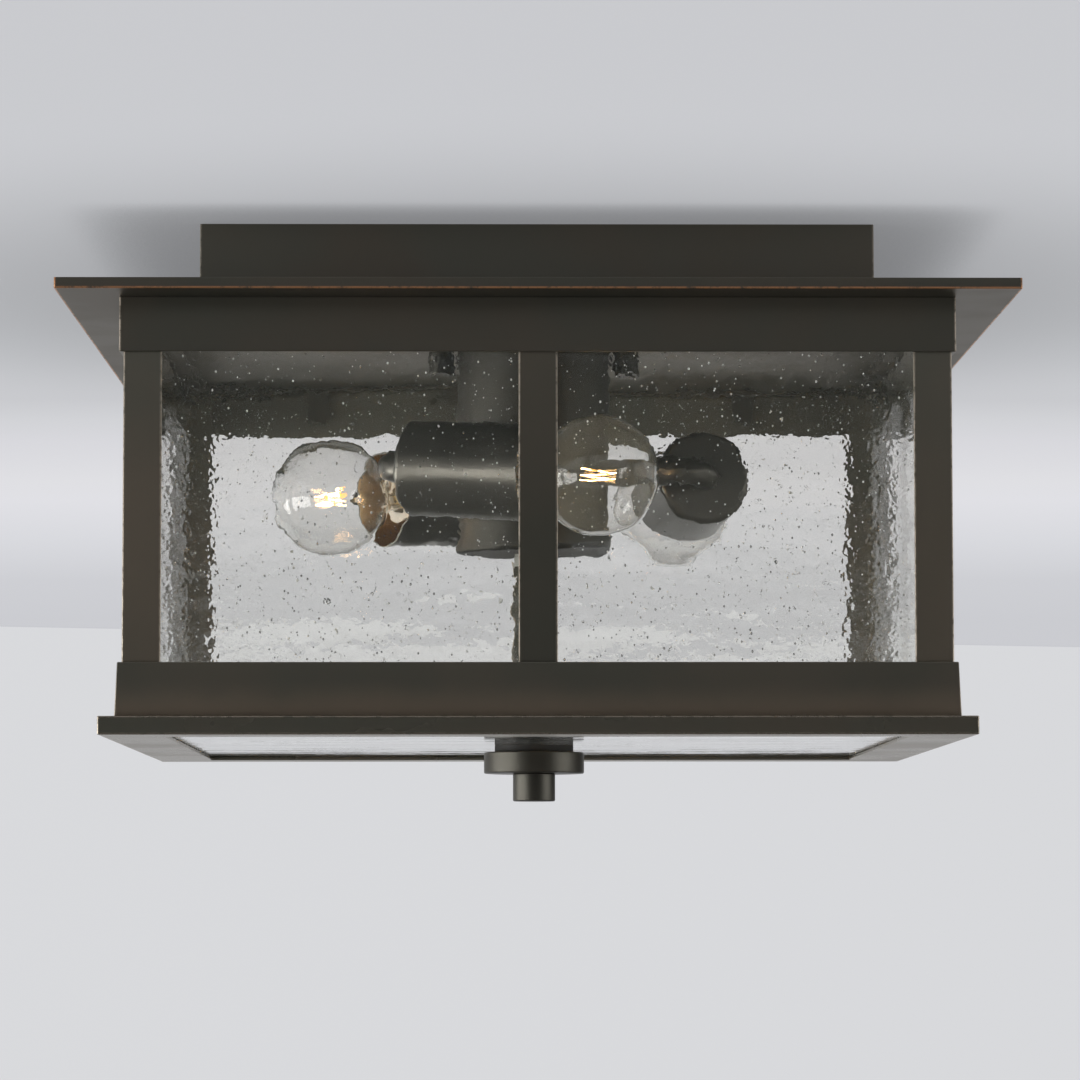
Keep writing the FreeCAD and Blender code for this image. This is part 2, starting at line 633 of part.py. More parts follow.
def bulb_globe():
    outer, outer_neck, outer_front = globe_profile(0)
    inner, inner_neck, inner_front = globe_profile(GLOBE_WALL)
    neck_end = Part.LineSegment(outer_neck, inner_neck).toShape()
    front_end = Part.LineSegment(outer_front, inner_front).toShape()
    return spun(outer + inner + [neck_end, front_end])


def bulb_stem():
    """The glass mount that the supports are sealed into."""
    bell = BASE_END + (STEM_END - BASE_END) / 3
    return spun_outline([(BASE_END, 0), (BASE_END, STEM_FOOT_RADIUS), (bell, STEM_RADIUS),
                         (STEM_END - 1, STEM_RADIUS), (STEM_END, STEM_RADIUS - 1), (STEM_END, 0)])


def wire_run(radius, points):
    """A thin wire through points, with a ball at each bend."""
    solids = []
    for start, end in zip(points, points[1:]):
        solids.append(Part.makeCylinder(radius, (end - start).Length, start, end - start))
    solids += [Part.makeSphere(radius, point) for point in points[1:-1]]
    return solids[0].fuse(solids[1:])


def bulb_filament():
    """Two supports out of the stem, and a coil that runs forwards and back between them."""
    rear = GLOBE_CENTRE - FILAMENT_HALF
    front = GLOBE_CENTRE + FILAMENT_HALF
    step = FILAMENT_SPREAD / FILAMENT_RUNS
    bends = [V(front if n % 2 else rear, 0, FILAMENT_SPREAD / 2 - n * step)
             for n in range(FILAMENT_RUNS + 1)]
    foot = STEM_END + WIRE_RADIUS
    supports = [wire_run(WIRE_RADIUS, [V(foot, 0, STEM_RADIUS / 2), bends[0]]),
                wire_run(WIRE_RADIUS, [V(foot, 0, -STEM_RADIUS / 2), bends[-1]])]
    ends = [Part.makeSphere(FILAMENT_RADIUS, bends[0]), Part.makeSphere(FILAMENT_RADIUS, bends[-1])]
    return wire_run(FILAMENT_RADIUS, bends).fuse(supports + ends)


def in_all_cups(shape):
    return [in_cup(shape, socket) for socket in range(SOCKETS)]


def save_sockets():
    """Everything that repeats round the hub."""
    save("arm_nuts", *[placed(arm_nut(), socket) for socket in range(SOCKETS)])
    save("cup_nuts", *in_all_cups(cup_nut()))
    save("screw_shells", *in_all_cups(screw_shell()))
    save("socket_contacts", *in_all_cups(socket_contact()))
    for socket in range(SOCKETS):
        number = str(socket + 1)
        save("arm_" + number, placed(arm(), socket))
        save("socket_cup_" + number, in_cup(socket_cup(), socket))
        save("socket_holder_" + number, in_cup(socket_holder(), socket))
        save("bulb_" + number + "_base", *[in_cup(solid, socket) for solid in bulb_base()])
        save("bulb_" + number + "_globe", in_cup(bulb_globe(), socket))
        save("bulb_" + number + "_stem", in_cup(bulb_stem(), socket))
        save("bulb_" + number + "_filament", in_cup(bulb_filament(), socket))


def save_cage():
    """Rails, and the post, mullion, pane and clips of each side."""
    save("top_rail", top_rail())
    save("bottom_rail", bottom_rail())
    sides = ("front", "right", "back", "left")
    corners = ("front_left", "front_right", "back_right", "back_left")
    for quarter, side in enumerate(sides):
        save("corner_post_" + corners[quarter], quarter_turned(corner_post(), quarter))
        save("mullion_" + side, quarter_turned(mullion(), quarter))
        save("side_pane_" + side, quarter_turned(side_pane(), quarter))
    save("pane_clips", *[quarter_turned(clip, quarter) for clip in pane_clips() for quarter in range(4)])


def save_top():
    """What hangs the lantern from the ceiling."""
    save("ceiling_bracket", ceiling_bracket())
    save("mounting_studs", *at_studs(mounting_stud()))
    stud_nut_low = -BRACKET_SHEET - STUD_NUT_HEIGHT
    save("stud_nuts", *at_studs(hexagon(STUD_NUT_FLATS, stud_nut_low, -BRACKET_SHEET,
                                        STUD_RADIUS + THREAD_FIT)))
    save("thumb_nuts", *at_studs(thumb_nut()))
    save("ground_screw", ground_screw())
    save("canopy", canopy())
    save("roof_plate", roof_plate())
    save("hub_drum", hub_drum())
    save("hub_cap", hub_cap())
    save("centre_rod", centre_rod())
    save("rod_top_nut", rod_nut(Z_PAN + PAN_SHEET))
    save("hub_nut", rod_nut(Z_HUB - HUB_CAP_HEIGHT - NUT_HEIGHT))


def save_tray():
    """The glazed tray and the finial that holds it up."""
    save("tray_frame", tray_frame())
    save("bottom_glass", bottom_glass())
    save("tray_seal", tray_seal())
    save("glass_clips", *[quarter_turned(clip, quarter) for clip in glass_clips() for quarter in range(4)])
    save("finial_gasket", finial_gasket())
    save("finial_washer", finial_washer())
    save("finial_knob", finial_knob())


os.makedirs("parts", exist_ok=True)
save_top()
save_cage()
save_sockets()
save_tray()
print("lantern height", -Z_KNOB, "elbow radius", round(ELBOW_RADIUS, 2))
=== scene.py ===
import math
import random

import bmesh
import bpy
from mathutils import Matrix, Vector, noise


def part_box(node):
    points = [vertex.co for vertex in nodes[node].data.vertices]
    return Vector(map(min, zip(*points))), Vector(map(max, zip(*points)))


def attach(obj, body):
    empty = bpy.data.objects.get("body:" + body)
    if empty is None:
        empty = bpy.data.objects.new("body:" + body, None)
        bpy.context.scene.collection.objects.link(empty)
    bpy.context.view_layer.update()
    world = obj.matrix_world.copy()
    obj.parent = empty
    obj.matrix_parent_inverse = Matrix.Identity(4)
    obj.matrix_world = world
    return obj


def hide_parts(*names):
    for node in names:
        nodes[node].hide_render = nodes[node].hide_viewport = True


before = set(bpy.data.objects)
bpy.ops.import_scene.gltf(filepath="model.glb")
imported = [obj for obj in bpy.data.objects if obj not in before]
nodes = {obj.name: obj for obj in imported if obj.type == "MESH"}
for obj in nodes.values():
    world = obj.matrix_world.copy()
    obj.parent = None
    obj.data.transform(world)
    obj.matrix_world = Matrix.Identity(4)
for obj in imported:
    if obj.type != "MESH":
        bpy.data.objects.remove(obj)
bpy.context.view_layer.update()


# ---- The photographer's place ----
# The camera stands 1.9 m in front of the lantern and a little below it, on a long lens, and
# looks slightly up. Its place comes from the straight edges of the square lantern.

PHOTO_SIDE = 1080.0
FOCAL_PIXELS = 4394.84
CAMERA_PLACE = (-0.02017, -1.90428, -0.27254)
CAMERA_PITCH, CAMERA_YAW, CAMERA_ROLL = 0.0812, 0.0120, -0.0009

camera = bpy.data.objects.new("Photo_camera", bpy.data.cameras.new("Photo_camera"))
camera.data.lens = camera.data.sensor_width * FOCAL_PIXELS / PHOTO_SIDE
camera.matrix_world = (
    Matrix.Translation(CAMERA_PLACE)
    @ Matrix.Rotation(-CAMERA_YAW, 4, "Z")
    @ Matrix.Rotation(math.pi / 2 + CAMERA_PITCH, 4, "X")
    @ Matrix.Rotation(CAMERA_ROLL, 4, "Z")
)
bpy.context.scene.collection.objects.link(camera)
bpy.context.scene.camera = camera
bpy.context.scene.view_settings.view_transform = "Standard"


# ---- The porch: ceiling, back wall and floor ----
# A pale painted ceiling that the lantern hangs from, the wall behind it and a plain pale floor.
# Each shows from inside only, so that the lantern can be seen from above and behind as well.

def linear(red, green, blue):
    """A colour as it is on a screen, 0 to 255, as the light that Blender counts in."""
    steps = [value / 255 for value in (red, green, blue)]
    return tuple(s / 12.92 if s <= 0.04045 else ((s + 0.055) / 1.055) ** 2.4 for s in steps) + (1.0,)


class Link:
    """A node's output. Sums on links and numbers add their Math nodes."""

    def __init__(self, tree, socket=None):
        self.tree, self.socket = tree, socket

    def node(self, kind, settings, inputs, output=0):
        """Add a node: its settings first, then values or links for its sockets."""
        node = self.tree.nodes.new(kind)
        for name, value in settings.items():
            if name == "stops":
                ramp = node.color_ramp.elements
                while len(ramp) < len(value):
                    ramp.new(0.5)
                for stop, (position, colour) in zip(ramp, value):
                    stop.position, stop.color = position, colour
            else:
                setattr(node, name, value)
        for name, value in inputs.items():
            if isinstance(value, Link):
                self.tree.links.new(value.socket, node.inputs[name])
            else:
                node.inputs[name].default_value = value
        return Link(self.tree, node.outputs[output] if len(node.outputs) else None)

    def finish(self, shader):
        """Put a shader on the material's output."""
        self.node("ShaderNodeOutputMaterial", {}, {"Surface": shader})

    def ray(self, kind):
        """1 for the rays of one kind, such as Camera, and 0 for all others."""
        return self.node("ShaderNodeLightPath", {}, {}, "Is %s Ray" % kind)

    def place(self):
        """The point of the surface, in the lantern's own coordinates."""
        return self.node("ShaderNodeTexCoord", {}, {}, "Object")

    def axis(self, name):
        """One number of a point: X, Y or Z."""
        return self.node("ShaderNodeSeparateXYZ", {}, {0: self}, name)

    def maths(self, operation, first, second=0.0):
        return self.node("ShaderNodeMath", {"operation": operation}, {0: first, 1: second})

    def __add__(self, other):
        return self.maths("ADD", self, other)

    def __sub__(self, other):
        return self.maths("SUBTRACT", self, other)

    def __rsub__(self, other):
        return self.maths("SUBTRACT", other, self)

    def __mul__(self, other):
        return self.maths("MULTIPLY", self, other)

    def __abs__(self):
        return self.maths("ABSOLUTE", self)

    __radd__, __rmul__ = __add__, __mul__

    def least(self, other):
        return self.maths("MINIMUM", self, other)

    def most(self, other):
        return self.maths("MAXIMUM", self, other)

    def fade(self, start, end, low=0.0, high=1.0):
        """Runs smoothly from low at start to high at end, and stays there."""
        return self.node("ShaderNodeMapRange", {"interpolation_type": "SMOOTHSTEP"}, {
            "Value": self, "From Min": start, "From Max": end, "To Min": low, "To Max": high})

    def blend(self, first, second):
        """Colour first where this is 0 and colour second where it is 1."""
        return self.node("ShaderNodeMix", {"data_type": "RGBA"}, {0: self, 6: first, 7: second}, 2)


def new_finish(name):
    """A new material with nothing in it, and a link to start its nodes from."""
    material = bpy.data.materials.new(name)
    material.use_nodes = True
    material.node_tree.nodes.clear()
    return material, Link(material.node_tree)


ROOM_HALF = 3.2
CEILING_GAP = 0.0004
CEILING_START, CEILING_END = -0.6, 2.6
# The ceiling's tones along Y: pale paint with a painted lighter band of light about a metre behind the
# lantern.
CEILING_TONES_WITH_LIGHT = [
    (-0.57, linear(208, 209, 213)), (0.25, linear(209, 211, 215)), (0.50, linear(208, 209, 213)),
    (0.60, linear(217, 218, 222)), (0.72, linear(224, 224, 229)), (0.97, linear(232, 232, 236)),
    (1.11, linear(233, 233, 238)), (1.45, linear(225, 226, 231)), (1.87, linear(214, 215, 220)),
    (2.40, linear(211, 212, 217))]
WALL_BEHIND, WALL_MIDDLE, WALL_TURN = 2.56, -1.0, math.radians(18)
WALL_TONE = linear(224, 225, 228)
FLOOR_LEVEL, FLOOR_HALF = -1.9, 60.0
FLOOR_TONE, FLOOR_MIRRORED = linear(222, 220, 216), 0.1
BLACK = (0.0, 0.0, 0.0, 1.0)
OWN_LIGHT = 0.9
PAINT_LIT = (0.5, 0.5, 0.5, 1.0)
DIM_IN_FRONT = (-0.7, -0.3)
# Painted shadow on the ceiling: a soft round shadow of the lantern, centred a little behind it, and a darker
# contact shadow from ambient occlusion close to it.
SHADE_MIDDLE = (0.0, 0.1, CEILING_GAP)
SHADE_NEAR, SHADE_FAR, SHADE_LEVEL = 0.12, 0.5, 0.64
CONTACT_SHADOW_REACH, CONTACT_SHADOW_SAMPLES = 0.11, 8
CONTACT_SHADOW_LEVEL, CONTACT_SHADOW_END = 0.5, 0.6


def ceiling_colour(start):
    """The ceiling's tones along Y with a painted lighter band, darkened in the lantern's shade by a painted
    round shadow and a painted contact shadow, and how bright metal shows it.
    """
    place = start.place()
    along = place.axis("Y")
    span = CEILING_END - CEILING_START
    stops = [((metres - CEILING_START) / span, tone) for metres, tone in CEILING_TONES_WITH_LIGHT]
    tones_with_light = start.node("ShaderNodeValToRGB", {"stops": stops}, {"Fac": (along - CEILING_START) * (1 / span)})
    far = start.node("ShaderNodeVectorMath", {"operation": "DISTANCE"}, {0: place, 1: SHADE_MIDDLE}, "Value")
    open_air = start.node(
        "ShaderNodeAmbientOcclusion", {"samples": CONTACT_SHADOW_SAMPLES}, {"Distance": CONTACT_SHADOW_REACH}, "AO")
    shade = far.fade(SHADE_NEAR, SHADE_FAR, SHADE_LEVEL)
    contact_shadow = open_air.fade(0.0, CONTACT_SHADOW_END, CONTACT_SHADOW_LEVEL)
    return (shade * contact_shadow).blend(BLACK, tones_with_light), along.fade(*DIM_IN_FRONT)


def room_paint(name, colour=None, mirrored=1.0):
    """Matt wall paint that is clear from behind. Mirrored says how bright metal shows it.

    Without a colour it is the ceiling, which lets the lamp above it shine through, so that the
    lantern's top can be seen from above.
    """
    material, start = new_finish(name)
    clear = start.node("ShaderNodeBsdfTransparent", {}, {})
    unseen = start.node("ShaderNodeBsdfDiffuse", {}, {"Color": PAINT_LIT})
    if not colour:
        colour, mirrored = ceiling_colour(start)
        unseen = start.node("ShaderNodeMixShader", {}, {0: start.ray("Shadow"), 1: unseen, 2: clear})
    glossy = start.ray("Glossy")
    dimmed = (glossy * (1 - mirrored)).blend(colour, BLACK)
    glow = start.node("ShaderNodeEmission", {}, {"Color": dimmed, "Strength": 1.0})
    looked_at = start.ray("Camera").most(start.ray("Transmission")).most(glossy) * OWN_LIGHT
    paint = start.node("ShaderNodeMixShader", {}, {0: looked_at, 1: unseen, 2: glow})
    behind = start.node("ShaderNodeNewGeometry", {}, {}, "Backfacing")
    start.finish(start.node("ShaderNodeMixShader", {}, {0: behind, 1: paint, 2: clear}))
    return material


def room_side(name, material, place, half=ROOM_HALF):
    """One big flat square, moved and turned by place, that isn't part of the lantern."""
    mesh = bmesh.new()
    bmesh.ops.create_grid(mesh, x_segments=1, y_segments=1, size=half, matrix=place)
    made = bpy.data.meshes.new(name)
    mesh.to_mesh(made)
    mesh.free()
    made.materials.append(material)
    side = bpy.data.objects.new(name, made)
    bpy.context.scene.collection.objects.link(side)


room_side("Porch_ceiling", room_paint("Ceiling_paint"),
          Matrix.Translation((0, 0, CEILING_GAP)) @ Matrix.Rotation(math.pi, 4, "X"))
room_side("Porch_wall", room_paint("Wall_paint", WALL_TONE),
          Matrix.Rotation(WALL_TURN, 4, "Z") @ Matrix.Translation((0, WALL_BEHIND, WALL_MIDDLE))
          @ Matrix.Rotation(math.pi / 2, 4, "X"))
room_side("Porch_floor", room_paint("Floor_paint", FLOOR_TONE, FLOOR_MIRRORED),
          Matrix.Translation((0, 0, FLOOR_LEVEL)), FLOOR_HALF)


# ---- Soft studio light ----
# Two large soft boxes stand left and right in front, with a dimmer room between them, so that
# round metal shows a light side, a dark middle and a light side. The pale room fills from all
# sides, and a third soft box over the ceiling lights the lantern's top for views from above.

LIT_POINT = Vector((0, 0, -0.12))
WORLD_COLOUR = (0.80, 0.82, 0.85, 1.0)
FILL, SKY_SEEN = 0.21, 0.9


def soft_box(name, place, size, watts, through_glass=False):
    """A flat lamp that faces the lantern and isn't seen itself, unless mirrored or through glass."""
    lamp = bpy.data.lights.new(name, "AREA")
    lamp.shape = "RECTANGLE"
    lamp.size, lamp.size_y, lamp.energy = size[0], size[1], watts
    box = bpy.data.objects.new(name, lamp)
    aim = (LIT_POINT - Vector(place)).to_track_quat("-Z", "Y")
    box.matrix_world = Matrix.Translation(place) @ aim.to_matrix().to_4x4()
    box.visible_camera = False
    box.visible_transmission = through_glass
    bpy.context.scene.collection.objects.link(box)


soft_box("Soft_box_left", place=(-2.0, -0.6, -0.42), size=(2.6, 0.76), watts=34, through_glass=True)
soft_box("Soft_box_right", place=(2.0, -0.65, -0.42), size=(1.6, 0.76), watts=13)
soft_box("Soft_box_above", place=(0.3, 0.3, 1.9), size=(1.6, 1.6), watts=16)

world = bpy.data.worlds.new("Studio")
bpy.context.scene.world = world
world.use_nodes = True
world.node_tree.nodes.clear()
start = Link(world.node_tree)
seen = start.ray("Camera").most(start.ray("Transmission"))
sky = start.node("ShaderNodeBackground", {}, {
    "Color": WORLD_COLOUR, "Strength": seen * (SKY_SEEN - FILL) + FILL})
start.node("ShaderNodeOutputWorld", {}, {"Surface": sky})


# ---- Sheet metal: canopy, roof plate, rails, posts, mullions and tray ----
# Folded steel, painted near black with warm brown patches and rubbed back by hand to bare copper
# along the edges, where the light line is partly painted highlight. Low down, the posts and the
# tray's underside carry a warm band of painted reflected light, and the bottom rail is lighter and
# warmer towards its bottom. Every edge of the folded sheet is a little rounded by the paint.

BRONZE_DARK = linear(82, 81, 73)
BRONZE_BROWN = linear(87, 82, 73)
# Warm colour of the lighter bands low on the posts, bottom rail and tray, mostly painted reflected light.
BRONZE_GLAZE_AND_LIGHT = linear(134, 121, 106)
# A light line along the worn edges, partly bare metal and partly painted highlight.
WORN_EDGE_AND_HIGHLIGHT = linear(176, 165, 150)
COPPER = linear(190, 138, 100)
BRONZE_SHEEN = (1.0, 0.94, 0.86, 1.0)
PAINT_METALLIC, WORN_METALLIC = 0.5, 0.4
PAINT_ROUGH, WORN_SMOOTHER = (0.36, 0.41), 0.08
CLOUD_SCALE, CLOUD_RANGE = 16.0, (0.34, 0.68)
RAGGED_SCALE, RAGGED_DEPTH = 45.0, 0.006
RUB_SCALE, RUB_RANGE, RUB_REACH = 260.0, (0.3, 0.55), (0.001, 0.0005)
GRAIN_SCALE, GRAIN_HEIGHT, GRAIN_STRENGTH = 1800.0, 0.00003, 0.1
PAINTED_EDGE = 0.00045
SAME_POINT = 1e-6
STILL_FLAT, SHARP_BEND = math.radians(0.5), math.radians(40)
LEFT_OUT = 0.01


def noise_of(place, scale, detail, roughness=0.5):
    return place.node("ShaderNodeTexNoise", {}, {
        "Vector": place, "Scale": scale, "Detail": detail, "Roughness": roughness})


def toned(colour, tone):
    """A colour made lighter or darker."""
    return tuple(part * tone for part in colour[:3]) + (1.0,)


def box_edge_gap(place, low, high):
    """Distance to the nearest edge of a box that is mirrored to both sides of both middles."""
    gaps = []
    for axis, least, most in zip("XYZ", low, high):
        along = place.axis(axis)
        if axis != "Z":
            along = abs(along)
        gaps.append((along - least).least(most - along))
    x, y, z = gaps
    return x.least(y).most(x.most(y).least(z))


def bronze(name, low, high, edge=WORN_EDGE_AND_HIGHLIGHT, wear_and_highlight=0.8, glaze_and_light=None, dull=0.0, tone=1.0):
    """The rubbed bronze paint, worn along the edges of the box from low to high, where a light line is
    partly painted highlight.

    The warm band runs from one height to another, as strong as it says: painted reflected light on the posts
    and the tray, and on the bottom rail a lighter, warmer lower part.
    """
    material, start = new_finish(name)
    place = start.place()
    clouds = noise_of(place, CLOUD_SCALE, 4.0).fade(*CLOUD_RANGE)
    # The tone makes the paint lighter or darker piece by piece: painted light and shade for how much light
    # falls on each piece.
    colour = clouds.blend(toned(BRONZE_DARK, tone), toned(BRONZE_BROWN, tone))
    # A warm lighter band between two heights: painted reflected light on the posts and under the tray.
    if glaze_and_light:
        start_height, end_height, strength = glaze_and_light
        ragged = place.axis("Z") + noise_of(place, RAGGED_SCALE, 3.0) * RAGGED_DEPTH - RAGGED_DEPTH / 2
        colour = (ragged.fade(start_height, end_height) * strength).blend(colour, BRONZE_GLAZE_AND_LIGHT)
    patchy = noise_of(place, RUB_SCALE, 4.0, 0.7).fade(*RUB_RANGE)
    # Edge line: partly rubbed-through paint, partly painted highlight.
    rubbed_and_highlit = box_edge_gap(place, low, high).fade(*RUB_REACH) * patchy * wear_and_highlight
    rough = clouds.fade(0.0, 1.0, *PAINT_ROUGH) + dull - rubbed_and_highlit * WORN_SMOOTHER
    grain = noise_of(place, GRAIN_SCALE, 2.0)
    bump = start.node("ShaderNodeBump", {}, {
        "Strength": GRAIN_STRENGTH, "Distance": GRAIN_HEIGHT, "Height": grain})
    start.finish(start.node("ShaderNodeBsdfPrincipled", {}, {
        "Base Color": rubbed_and_highlit.blend(colour, edge), "Roughness": rough,
        "Metallic": rubbed_and_highlit * WORN_METALLIC + PAINT_METALLIC, "Normal": bump,
        "Specular Tint": BRONZE_SHEEN}))
    return material


def show(mesh, name, material, body, node):
    """Turn a finished bmesh into a piece that rides on a body and stands for a CAD node."""
    made = bpy.data.meshes.new(name)
    mesh.to_mesh(made)
    mesh.free()
    made.materials.append(material)
    made.shade_smooth()
    piece = bpy.data.objects.new(name, made)
    bpy.context.scene.collection.objects.link(piece)
    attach(piece, body)
    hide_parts(node)
    return piece


def eased(name, node, body, material):
    """A copy of a folded sheet from the frame, with every sharp edge rounded."""
    mesh = bmesh.new()
    mesh.from_mesh(nodes[node].data)
    bmesh.ops.remove_doubles(mesh, verts=mesh.verts, dist=SAME_POINT)
    bmesh.ops.dissolve_limit(mesh, angle_limit=STILL_FLAT, verts=mesh.verts, edges=mesh.edges)
    sharp = [edge for edge in mesh.edges
             if len(edge.link_faces) == 2 and edge.calc_face_angle() > SHARP_BEND]
    bmesh.ops.bevel(mesh, geom=sharp, offset=PAINTED_EDGE, segments=2, affect="EDGES",
                    profile=0.5, material=-1, clamp_overlap=True)
    piece = show(mesh, name, material, body, node)
    piece.modifiers.new("Flat_faces", "WEIGHTED_NORMAL").keep_sharp = True


def sheet_edges(node, mirrored=False, above=0.0, below=0.0):
    """A node's box as box_edge_gap wants it: whole, or the part on the plus side.

    Room above or below leaves out the edges round the top or the bottom.
    """
    low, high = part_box(node)
    low, high = low - Vector((0, 0, below)), high + Vector((0, 0, above))
    if mirrored:
        for n in (0, 1):
            ends = abs(low[n]), abs(high[n])
            if low[n] * high[n] > 0:
                low[n] = min(ends)
            high[n] = max(ends)
    return tuple(low), tuple(high)


# Each piece's tone is painted light and shade: the canopy, bottom rail, tray, posts and mullions lighter,
# the roof plate darker.
for name, wear_and_highlight, glaze_and_light, tone in (
        ("Canopy", 0.3, None, 1.25),
        ("Top_rail", 0.9, None, 1.04),
        ("Bottom_rail", 0.9, (-0.186, -0.2, 0.95), 1.52)):
    edges = sheet_edges(name.lower(), above=LEFT_OUT, below=LEFT_OUT)
    eased(name, name.lower(), "cage", bronze(name + "_bronze", *edges, wear_and_highlight=wear_and_highlight, glaze_and_light=glaze_and_light, tone=tone))

eased("Roof_plate", "roof_plate", "cage", bronze(
    "Roof_plate_bronze", *sheet_edges("roof_plate", above=LEFT_OUT),
    edge=COPPER, wear_and_highlight=1.0, dull=0.05, tone=0.85))
# The warm band along the tray's bottom edge is a painted reflection of the bright wall behind.
eased("Tray_frame", "tray_frame", "bottom_tray", bronze(
    "Tray_bronze", *sheet_edges("tray_frame"), glaze_and_light=(-0.2085, -0.212, 1.0), dull=-0.1, tone=1.6))

# The posts' warm band low down is painted reflected light.
post_bronze = bronze(
    "Post_bronze", *sheet_edges("corner_post_front_left", mirrored=True),
    glaze_and_light=(-0.05, -0.13, 0.45), tone=1.55)
for corner in ("front_left", "front_right", "back_right", "back_left"):
    eased("Corner_post_" + corner, "corner_post_" + corner, "cage", post_bronze)
for sides in (("front", "back"), ("right", "left")):
    mullion_bronze = bronze(
        "Mullion_bronze_" + sides[0], *sheet_edges("mullion_" + sides[0], mirrored=True), tone=1.25)
    for side in sides:
        eased("Mullion_" + side, "mullion_" + side, "cage", mullion_bronze)


# ---- Seeded glass: four side panes and the bottom pane ----
# Cylinder-drawn glass 3 mm thick, with slow horizontal ripples, a fine hammered skin and many
# trapped air seeds, the larger ones a millimetre across. Clips hold each pane in its frame.

GLASS_TINT = (0.993, 0.988, 0.968, 1.0)
GLASS_IOR = 1.5
FILM_COLOUR, FILM_SHARE = (0.78, 0.86, 0.80, 1.0), 0.022
SKIN_SCALE, SKIN_HEIGHT, SKIN_STRENGTH = 380.0, 0.0003, 0.3
ROUGH_ENDS, ROUGH_TOP, ROUGHEST = (0.0342, 0.042), (-0.072, -0.058), 0.7
PATCH_SCALE, PATCH_RANGE, PATCH_SKIN = 22.0, (0.5, 0.65), (0.1, 0.45)
SEED_SIZES, SMALL_SEEDS = (0.0001, 0.00048), 1.9
SEEDS_IN_SIDE, SEEDS_IN_BOTTOM = 4300, 3200
SEEDED_WIDTH, SEEDED_HEIGHT = 0.985, 0.97
SEED_STRETCH = 0.5
# Half the seeds are opaque grey and white, painted glints for the light that air seeds catch.
GLINT_SEED_SHARE = 0.5
GLEAM_SCALE, GLEAM_RANGE = 500.0, (0.3, 0.7)
GLINT_GREY, GLINT_WHITE = (0.80, 0.81, 0.78, 1.0), (0.95, 0.95, 0.93, 1.0)
RIPPLE_HEIGHT, RIPPLE_ALONG, RIPPLE_ACROSS, RIPPLE_APART = 0.00008, 14, 110, 7.3
HAMMER_HEIGHT, HAMMER_SCALE, HAMMER_APART, HAMMER_SHIFT = 0.000032, 210, 3.1, 20
SKIN_FREE = 3.5
GRID_STEP, BOTTOM_GRID_STEP = 0.0014, 0.0022
BOTTOM_HOLE, HOLE_CORNERS = 0.0065, 48
HOLE_FREE = 3  # in radii of the hole, with no seed nearer
HOLE_CUT = 1.5  # in steps of the grid, cut away round the hole


def clear_glass(name, tint, skin_scale, depth):
    """Glass with a faint film on it, that bends what is behind it and lets lamps shine through."""
    material, start = new_finish(name)
    place = start.place()
    x, y, z = [place.axis(axis) for axis in "XYZ"]
    ends = (x * x + y * y).fade(*ROUGH_ENDS, 0.0, ROUGHEST)
    top = z.fade(*ROUGH_TOP, 0.0, ROUGHEST)
    patches = noise_of(place, PATCH_SCALE, 1.0).fade(*PATCH_RANGE, *PATCH_SKIN).most(ends).most(top)
    skin = start.node("ShaderNodeBump", {}, {
        "Strength": SKIN_STRENGTH, "Distance": SKIN_HEIGHT,
        "Height": noise_of(place, skin_scale, 1.0) * patches * depth})
    glass = start.node("ShaderNodeBsdfPrincipled", {}, {
        "Base Color": tint, "Roughness": 0.0, "IOR": GLASS_IOR, "Transmission Weight": 1.0, "Normal": skin})
    film = start.node("ShaderNodeBsdfDiffuse", {}, {"Color": FILM_COLOUR})
    glass = start.node("ShaderNodeMixShader", {}, {0: FILM_SHARE, 1: glass, 2: film})
    clear = start.node("ShaderNodeBsdfTransparent", {}, {"Color": tint})
    start.finish(start.node("ShaderNodeMixShader", {}, {0: start.ray("Shadow"), 1: glass, 2: clear}))
    return material


def painted_glint_seed(name):
    """Opaque grey and white seeds: a painted glint for the light that real air seeds catch."""
    material, start = new_finish(name)
    gleam = noise_of(start.place(), GLEAM_SCALE, 1.0).fade(*GLEAM_RANGE)
    start.finish(start.node("ShaderNodeBsdfPrincipled", {}, {
        "Base Color": gleam.blend(GLINT_GREY, GLINT_WHITE), "Roughness": 0.15}))
    return material


seeded = clear_glass("Seeded_glass", GLASS_TINT, SKIN_SCALE, 1.0)
glint_seed = painted_glint_seed("Painted_glint_seed")


def waves(place, side):
    """How far drawn glass swells at a point of its skin, side 1 or -1, each with its own waves."""
    x, z = place[0], place[1]
    ripple = noise.noise(Vector((x * RIPPLE_ALONG, z * RIPPLE_ACROSS, side * RIPPLE_APART)))
    hammer = noise.noise(Vector((x * HAMMER_SCALE, z * HAMMER_SCALE, side * HAMMER_APART + HAMMER_SHIFT)))
    return ripple * RIPPLE_HEIGHT + hammer * HAMMER_HEIGHT - RIPPLE_HEIGHT


